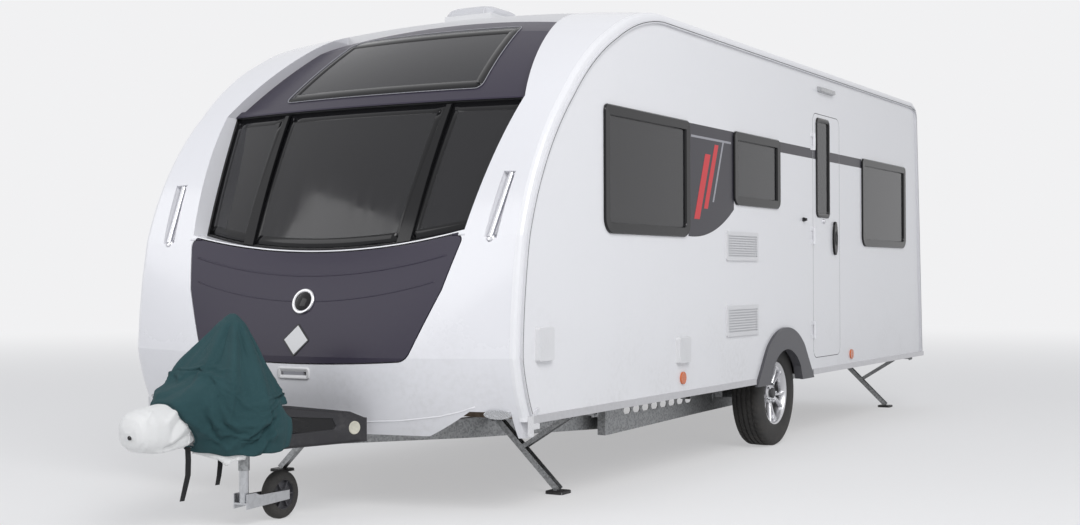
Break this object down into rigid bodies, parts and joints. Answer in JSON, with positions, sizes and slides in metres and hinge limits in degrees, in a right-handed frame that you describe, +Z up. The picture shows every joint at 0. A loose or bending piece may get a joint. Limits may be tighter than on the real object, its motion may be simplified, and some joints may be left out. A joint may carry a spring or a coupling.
{
  "type": "travel caravan",
  "caption": "Single-axle travel caravan with a bowed glazed front, gas locker lid, side door, corner steadies, A-frame drawbar, jockey wheel and fabric hitch covers.",
  "frame": {"origin": "on the ground under the middle of the body and hitch together", "axes": "+X forward to the hitch, +Y to the door side, +Z up"},
  "size_m": [7.5198, 2.276, 2.5363],
  "materials": {
    "body_white": "gloss",
    "front_grey": "gloss",
    "dark_glass": "polished",
    "black_gloss": "gloss",
    "arch_grey": "gloss",
    "white_plastic": "satin",
    "smoke_dome": "polished",
    "rail_aluminium": "satin",
    "handle_silver": "satin",
    "galvanised": "matt",
    "hitch_black": "satin",
    "fairing_black": "matt",
    "tyre_rubber": "matt",
    "rim_alloy": "polished",
    "jockey_rubber": "matt",
    "cover_green": "woven",
    "cover_white": "coated",
    "amber_red": "gloss",
    "lamp_clear": "polished",
    "lamp_red": "gloss",
    "floor_ply": "satin",
    "seat_cloth": "woven"
  },
  "bodies": {
    "caravan": {"a_frame_fairing": "fairing_black", "arch_trims": "arch_grey", "awning_lamp": "white_plastic", "awning_rails": "rail_aluminium", "axle_beam": "galvanised", "bench_cushions": "seat_cloth", "bottom_rails": "rail_aluminium", "cabin_furniture": "floor_ply", "cabin_windows": "dark_glass", "chassis_frame": "galvanised", "coupling_cover": "cover_white", "drawbar": "galvanised", "floor_panel": "floor_ply", "fridge_vents": "white_plastic", "front_markers": "lamp_clear", "front_moulding": "body_white", "front_mullions": "black_gloss", "front_upper_panel": "front_grey", "front_windows": "dark_glass", "grab_handles": "handle_silver", "hitch": "hitch_black", "hitch_cover": "cover_green", "jockey_tube": "galvanised", "locker_bulkhead": "floor_ply", "rail_caps": "body_white", "rear_bumper": "body_white", "rear_lamps": "lamp_red", "rear_panel": "body_white", "roof_panel": "body_white", "rooflight_frames": "white_plastic", "service_hatches": "body_white", "side_reflectors": "amber_red", "side_wall_left": "body_white", "side_wall_right": "body_white", "skylight": "dark_glass", "steady_bases": "galvanised", "wheel_boxes": "fairing_black"},
    "wheel_left": {"tyre_left": "tyre_rubber", "rim_left": "rim_alloy", "hub_left": "hitch_black"},
    "wheel_right": {"tyre_right": "tyre_rubber", "rim_right": "rim_alloy", "hub_right": "hitch_black"},
    "door": {"door_leaf": "body_white", "door_glass": "dark_glass", "door_handle": "black_gloss"},
    "gas_locker_lid": {"locker_lid": "body_white"},
    "roof_lid_front": {"rooflight_lid_front": "smoke_dome"},
    "roof_lid_rear": {"rooflight_lid_rear": "smoke_dome"},
    "jockey_screw": {"jockey_screw": "galvanised"},
    "jockey_fork": {"jockey_fork": "galvanised"},
    "jockey_wheel": {"jockey_wheel": "jockey_rubber"},
    "steady_leg_front_left": {"steady_leg_front_left": "galvanised"},
    "steady_brace_front_left": {"steady_brace_front_left": "galvanised"},
    "steady_leg_front_right": {"steady_leg_front_right": "galvanised"},
    "steady_brace_front_right": {"steady_brace_front_right": "galvanised"},
    "steady_leg_rear_left": {"steady_leg_rear_left": "galvanised"},
    "steady_brace_rear_left": {"steady_brace_rear_left": "galvanised"},
    "steady_leg_rear_right": {"steady_leg_rear_right": "galvanised"},
    "steady_brace_rear_right": {"steady_brace_rear_right": "galvanised"}
  },
  "joints": [
    {"name": "wheel_left_spin", "type": "hinge", "parent": "caravan", "child": "wheel_left", "pos_m": [-0.65, 0.9755, 0.325], "axis": [0, 1, 0], "continuous": true},
    {"name": "wheel_right_spin", "type": "hinge", "parent": "caravan", "child": "wheel_right", "pos_m": [-0.65, -0.9755, 0.325], "axis": [0, 1, 0], "continuous": true},
    {"name": "door_hinge", "type": "hinge", "parent": "caravan", "child": "door", "pos_m": [-1.178, 1.124, 1.31], "axis": [0, 0, -1], "range_deg": [0, 155]},
    {"name": "gas_locker_lid_hinge", "type": "hinge", "parent": "caravan", "child": "gas_locker_lid", "pos_m": [2.498, 0, 1.241], "axis": [0, -1, 0], "range_deg": [0, 70]},
    {"name": "roof_lid_front_hinge", "type": "hinge", "parent": "caravan", "child": "roof_lid_front", "pos_m": [0.907, 0, 2.491], "axis": [0, -1, 0], "range_deg": [0, 50]},
    {"name": "roof_lid_rear_hinge", "type": "hinge", "parent": "caravan", "child": "roof_lid_rear", "pos_m": [-2.668, 0, 2.491], "axis": [0, -1, 0], "range_deg": [0, 50]},
    {"name": "jockey_lift", "type": "slide", "parent": "caravan", "child": "jockey_screw", "axis": [0, 0, 1], "range_m": [0, 0.08]},
    {"name": "jockey_swivel", "type": "hinge", "parent": "jockey_screw", "child": "jockey_fork", "pos_m": [3.205, 0.15286, 0.3], "axis": [0, 0, 1], "continuous": true},
    {"name": "jockey_wheel_spin", "type": "hinge", "parent": "jockey_fork", "child": "jockey_wheel", "pos_m": [2.974, 0.15286, 0.105], "axis": [0, 1, 0], "continuous": true},
    {"name": "steady_front_left_fold", "type": "hinge", "parent": "caravan", "child": "steady_leg_front_left", "pos_m": [1.75, 0.52, 0.352], "axis": [1, 0, 0], "range_deg": [0, 38]},
    {"name": "steady_front_left_brace", "type": "hinge", "parent": "steady_leg_front_left", "child": "steady_brace_front_left", "pos_m": [1.75, 0.66394, 0.21314], "axis": [1, 0, 0], "range_deg": [-62.5, 0]},
    {"name": "steady_front_right_fold", "type": "hinge", "parent": "caravan", "child": "steady_leg_front_right", "pos_m": [1.75, -0.52, 0.352], "axis": [-1, 0, 0], "range_deg": [0, 38]},
    {"name": "steady_front_right_brace", "type": "hinge", "parent": "steady_leg_front_right", "child": "steady_brace_front_right", "pos_m": [1.75, -0.66394, 0.21314], "axis": [-1, 0, 0], "range_deg": [-62.5, 0]},
    {"name": "steady_rear_left_fold", "type": "hinge", "parent": "caravan", "child": "steady_leg_rear_left", "pos_m": [-3.56, 0.52, 0.352], "axis": [1, 0, 0], "range_deg": [0, 38]},
    {"name": "steady_rear_left_brace", "type": "hinge", "parent": "steady_leg_rear_left", "child": "steady_brace_rear_left", "pos_m": [-3.56, 0.66394, 0.21314], "axis": [1, 0, 0], "range_deg": [-62.5, 0]},
    {"name": "steady_rear_right_fold", "type": "hinge", "parent": "caravan", "child": "steady_leg_rear_right", "pos_m": [-3.56, -0.52, 0.352], "axis": [-1, 0, 0], "range_deg": [0, 38]},
    {"name": "steady_rear_right_brace", "type": "hinge", "parent": "steady_leg_rear_right", "child": "steady_brace_rear_right", "pos_m": [-3.56, -0.66394, 0.21314], "axis": [-1, 0, 0], "range_deg": [-62.5, 0]}
  ],
  "couplings": [
    {"joint": "steady_front_left_brace", "follows": "steady_front_left_fold", "ratio": -1.634},
    {"joint": "steady_front_right_brace", "follows": "steady_front_right_fold", "ratio": -1.634},
    {"joint": "steady_rear_left_brace", "follows": "steady_rear_left_fold", "ratio": -1.634},
    {"joint": "steady_rear_right_brace", "follows": "steady_rear_right_fold", "ratio": -1.634}
  ]
}
